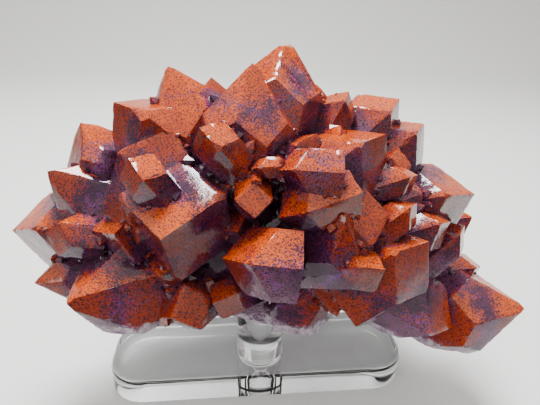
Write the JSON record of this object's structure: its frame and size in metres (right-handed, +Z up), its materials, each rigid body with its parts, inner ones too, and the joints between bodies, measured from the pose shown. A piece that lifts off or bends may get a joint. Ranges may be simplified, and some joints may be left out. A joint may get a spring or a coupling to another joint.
{
  "type": "amethyst cluster on an acrylic stand",
  "caption": "Cluster of rust-red amethyst crystals radiating from a broken base, held on a round clear post over a thick clear plate.",
  "frame": {"origin": "middle of the stand plate's underside", "axes": "+Z up, +X along the stand's long side to the right as seen from the cluster's best side, -Y towards that side"},
  "size_m": [0.2453, 0.1435, 0.186],
  "materials": {
    "amethyst": "glassy quartz faces speckled with rust-red iron oxide over purple",
    "clear_acrylic_post": "polished clear acrylic rod",
    "clear_acrylic_base": "polished clear acrylic plate"
  },
  "bodies": {
    "root": {"amethyst_cluster": "amethyst", "stand_post": "clear_acrylic_post", "stand_base": "clear_acrylic_base"}
  },
  "joints": []
}
